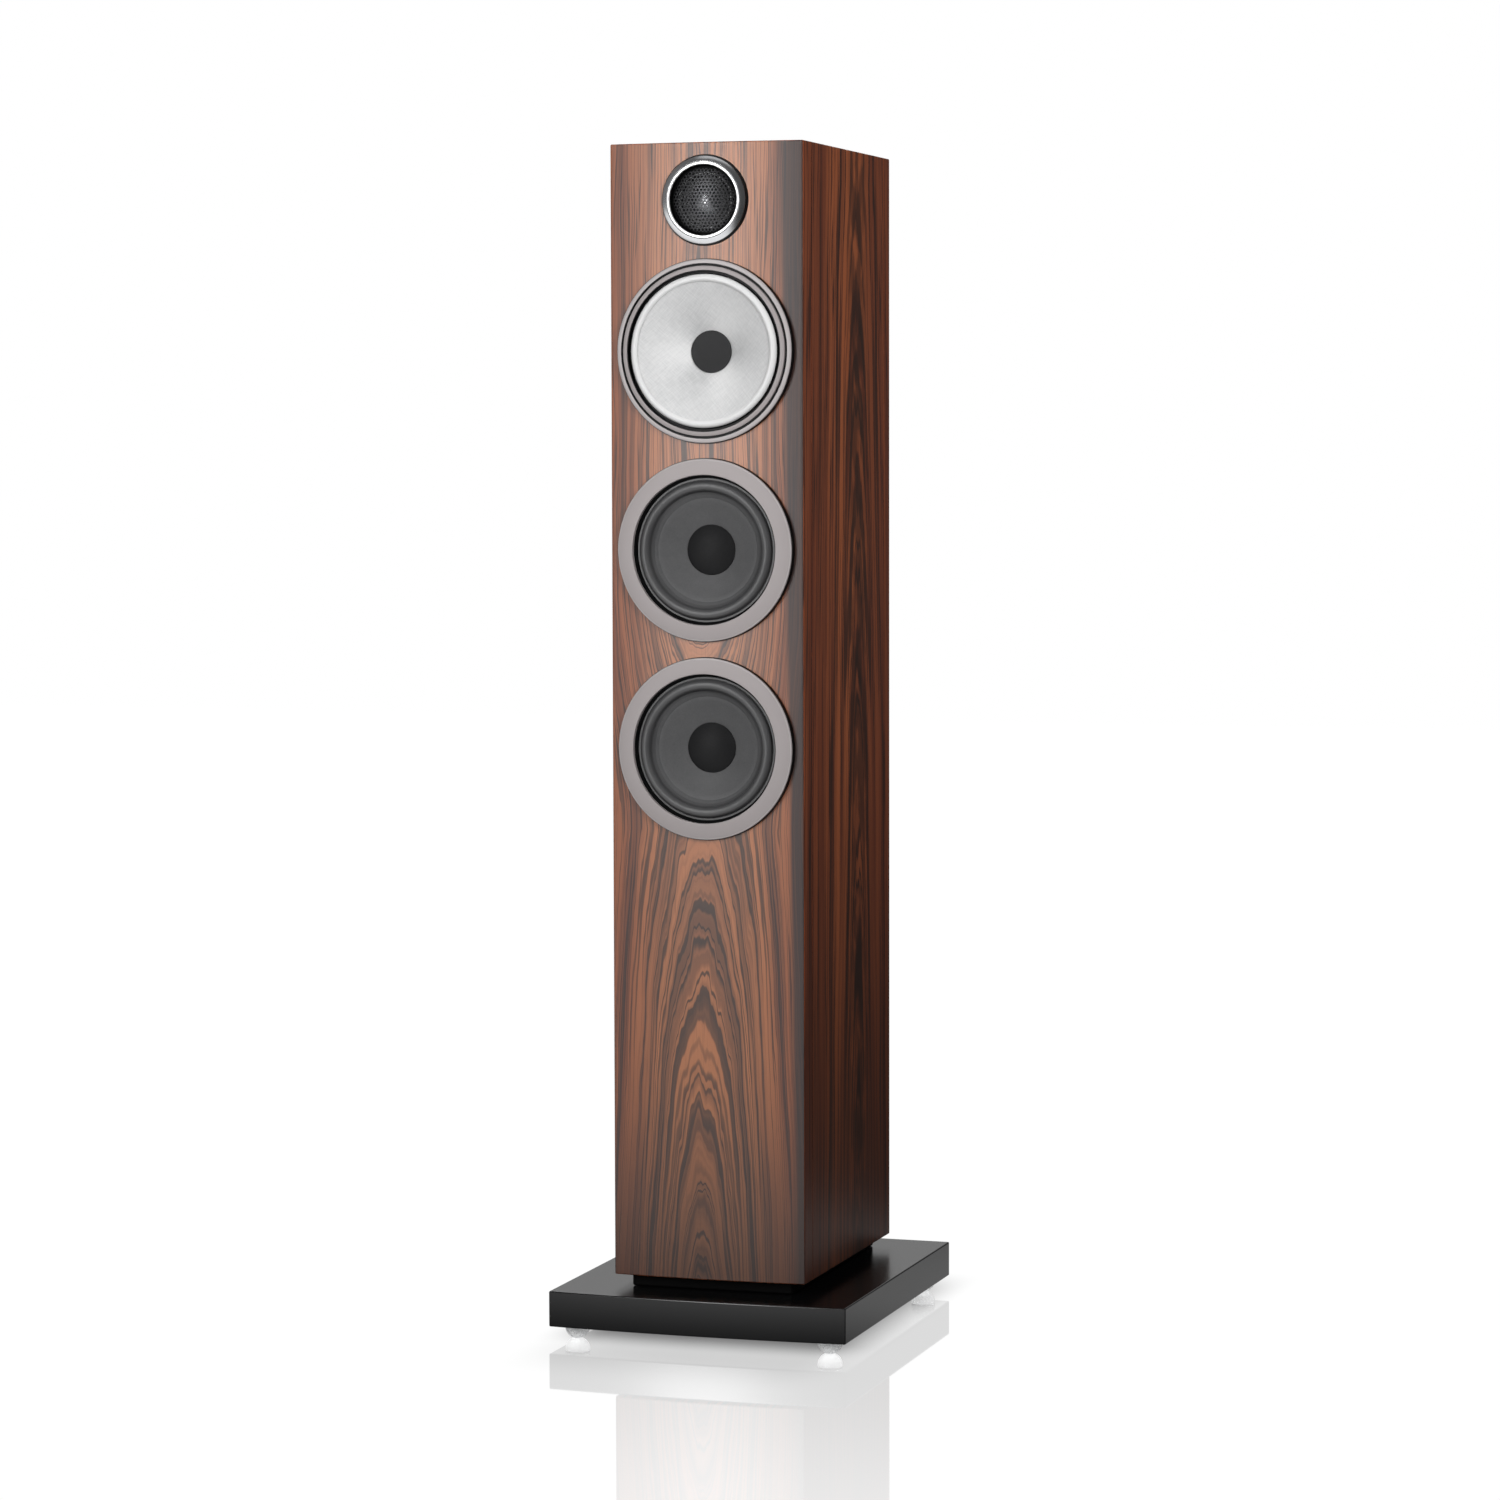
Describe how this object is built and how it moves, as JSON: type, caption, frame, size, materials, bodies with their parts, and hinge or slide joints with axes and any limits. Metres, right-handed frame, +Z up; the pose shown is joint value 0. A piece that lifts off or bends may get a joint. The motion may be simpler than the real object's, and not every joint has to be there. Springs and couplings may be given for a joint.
{
  "type": "floorstanding speaker",
  "caption": "Slim veneered floorstanding loudspeaker on a black plinth with domed feet, with tweeter, woven midrange and bass cones that travel, rear port and screw terminals.",
  "frame": {"origin": "middle of the plinth's outline, on the floor that the feet stand on", "axes": "+Z up, -Y the front with the drive units, +X the speaker's side that the picture shows"},
  "size_m": [0.254, 0.321, 0.976],
  "materials": {
    "rosewood_veneer": "satin lacquered veneer on fibreboard",
    "fibreboard": "bare board",
    "black_lacquer": "semi-gloss black lacquer on fibreboard",
    "black_plastic": "fine matt moulding",
    "satin_grey_metal": "satin grey anodised",
    "bright_metal": "polished",
    "grille_metal": "perforated, dark satin",
    "dome_metal": "bright dome",
    "plated_steel": "zinc plated thread",
    "plated_brass": "gold plated",
    "ferrite": "dark magnet and plates",
    "black_rubber": "satin half-roll",
    "clear_rubber": "clear, glossy",
    "paper_cone": "faintly fibrous matt grey",
    "woven_cone": "fine silver weave",
    "pale_surround": "smooth, pale",
    "plug_foam": "soft matt foam",
    "impregnated_cloth": "ribbed stiffened cloth",
    "damping_foam": "open-cell foam",
    "copper": "enamelled wire"
  },
  "bodies": {
    "cabinet": {"front_baffle": "rosewood_veneer", "side_panel_left": "rosewood_veneer", "side_panel_right": "rosewood_veneer", "top_panel": "rosewood_veneer", "bottom_panel": "rosewood_veneer", "rear_panel": "rosewood_veneer", "window_brace": "fibreboard", "mid_chamber": "fibreboard", "damping_pad": "damping_foam", "port_tube": "black_plastic", "terminal_panel": "black_plastic", "crossover_board": "fibreboard", "crossover_coil": "copper", "crossover_capacitor": "black_plastic", "plinth_board": "black_lacquer", "plinth_spacer": "black_plastic", "tweeter_housing": "black_plastic", "tweeter_trim": "satin_grey_metal", "tweeter_bright_ring": "bright_metal", "tweeter_grille": "grille_metal", "tweeter_motor": "ferrite", "mid_trim_ring": "satin_grey_metal", "mid_chassis": "black_plastic", "mid_motor": "ferrite", "mid_surround": "pale_surround", "mid_spider": "impregnated_cloth", "bass_upper_trim_ring": "satin_grey_metal", "bass_upper_chassis": "black_plastic", "bass_upper_motor": "ferrite", "bass_upper_surround": "black_rubber", "bass_upper_spider": "impregnated_cloth", "bass_lower_trim_ring": "satin_grey_metal", "bass_lower_chassis": "black_plastic", "bass_lower_motor": "ferrite", "bass_lower_surround": "black_rubber", "bass_lower_spider": "impregnated_cloth", "terminal_post_left": "plated_brass", "terminal_post_right": "plated_brass"},
    "tweeter_diaphragm": {"tweeter_dome": "dome_metal"},
    "mid_diaphragm": {"mid_cone": "woven_cone", "mid_plug": "plug_foam", "mid_voice_coil": "copper"},
    "bass_upper_diaphragm": {"bass_upper_cone": "paper_cone", "bass_upper_dust_cap": "paper_cone", "bass_upper_voice_coil": "copper"},
    "bass_lower_diaphragm": {"bass_lower_cone": "paper_cone", "bass_lower_dust_cap": "paper_cone", "bass_lower_voice_coil": "copper"},
    "stud_front_left": {"foot_stud_front_left": "plated_steel"},
    "stud_front_right": {"foot_stud_front_right": "plated_steel"},
    "stud_rear_left": {"foot_stud_rear_left": "plated_steel"},
    "stud_rear_right": {"foot_stud_rear_right": "plated_steel"},
    "foot_front_left": {"foot_dome_front_left": "clear_rubber"},
    "foot_front_right": {"foot_dome_front_right": "clear_rubber"},
    "foot_rear_left": {"foot_dome_rear_left": "clear_rubber"},
    "foot_rear_right": {"foot_dome_rear_right": "clear_rubber"},
    "washer_left": {"terminal_washer_left": "plated_brass"},
    "washer_right": {"terminal_washer_right": "plated_brass"},
    "knob_left": {"terminal_knob_left": "black_plastic"},
    "knob_right": {"terminal_knob_right": "black_plastic"}
  },
  "joints": [
    {"name": "tweeter_travel", "type": "slide", "parent": "cabinet", "child": "tweeter_diaphragm", "axis": [0, -1, 0], "range_m": [-0.0005, 0.0005], "stiffness_N_per_m": 300},
    {"name": "mid_travel", "type": "slide", "parent": "cabinet", "child": "mid_diaphragm", "axis": [0, -1, 0], "range_m": [-0.0015, 0.0015], "stiffness_N_per_m": 1900, "deforming": ["mid_surround", "mid_spider"]},
    {"name": "bass_upper_travel", "type": "slide", "parent": "cabinet", "child": "bass_upper_diaphragm", "axis": [0, -1, 0], "range_m": [-0.005, 0.005], "stiffness_N_per_m": 760, "deforming": ["bass_upper_surround", "bass_upper_spider"]},
    {"name": "bass_lower_travel", "type": "slide", "parent": "cabinet", "child": "bass_lower_diaphragm", "axis": [0, -1, 0], "range_m": [-0.005, 0.005], "stiffness_N_per_m": 760, "deforming": ["bass_lower_surround", "bass_lower_spider"]},
    {"name": "foot_lift_front_left", "type": "slide", "parent": "cabinet", "child": "stud_front_left", "axis": [0, 0, -1], "range_m": [0, 0.0101]},
    {"name": "foot_lift_front_right", "type": "slide", "parent": "cabinet", "child": "stud_front_right", "axis": [0, 0, -1], "range_m": [0, 0.0101]},
    {"name": "foot_lift_rear_left", "type": "slide", "parent": "cabinet", "child": "stud_rear_left", "axis": [0, 0, -1], "range_m": [0, 0.0101]},
    {"name": "foot_lift_rear_right", "type": "slide", "parent": "cabinet", "child": "stud_rear_right", "axis": [0, 0, -1], "range_m": [0, 0.0101]},
    {"name": "foot_turn_front_left", "type": "hinge", "parent": "stud_front_left", "child": "foot_front_left", "pos_m": [-0.1085, -0.137, 0], "axis": [0, 0, -1], "range_deg": [0, 2880]},
    {"name": "foot_turn_front_right", "type": "hinge", "parent": "stud_front_right", "child": "foot_front_right", "pos_m": [0.1085, -0.137, 0], "axis": [0, 0, -1], "range_deg": [0, 2880]},
    {"name": "foot_turn_rear_left", "type": "hinge", "parent": "stud_rear_left", "child": "foot_rear_left", "pos_m": [-0.1085, 0.142, 0], "axis": [0, 0, -1], "range_deg": [0, 2880]},
    {"name": "foot_turn_rear_right", "type": "hinge", "parent": "stud_rear_right", "child": "foot_rear_right", "pos_m": [0.1085, 0.142, 0], "axis": [0, 0, -1], "range_deg": [0, 2880]},
    {"name": "terminal_travel_left", "type": "slide", "parent": "cabinet", "child": "washer_left", "axis": [0, 1, 0], "range_m": [0, 0.0061]},
    {"name": "terminal_travel_right", "type": "slide", "parent": "cabinet", "child": "washer_right", "axis": [0, 1, 0], "range_m": [0, 0.0061]},
    {"name": "terminal_turn_left", "type": "hinge", "parent": "washer_left", "child": "knob_left", "pos_m": [-0.019, 0.129, 0.176], "axis": [0, 1, 0], "range_deg": [0, 2160]},
    {"name": "terminal_turn_right", "type": "hinge", "parent": "washer_right", "child": "knob_right", "pos_m": [0.019, 0.129, 0.176], "axis": [0, 1, 0], "range_deg": [0, 2160]}
  ],
  "couplings": [
    {"joint": "foot_lift_front_left", "follows": "foot_turn_front_left", "m_per_rad": 0.00019894},
    {"joint": "foot_lift_front_right", "follows": "foot_turn_front_right", "m_per_rad": 0.00019894},
    {"joint": "foot_lift_rear_left", "follows": "foot_turn_rear_left", "m_per_rad": 0.00019894},
    {"joint": "foot_lift_rear_right", "follows": "foot_turn_rear_right", "m_per_rad": 0.00019894},
    {"joint": "terminal_travel_left", "follows": "terminal_turn_left", "m_per_rad": 0.00015915},
    {"joint": "terminal_travel_right", "follows": "terminal_turn_right", "m_per_rad": 0.00015915}
  ]
}
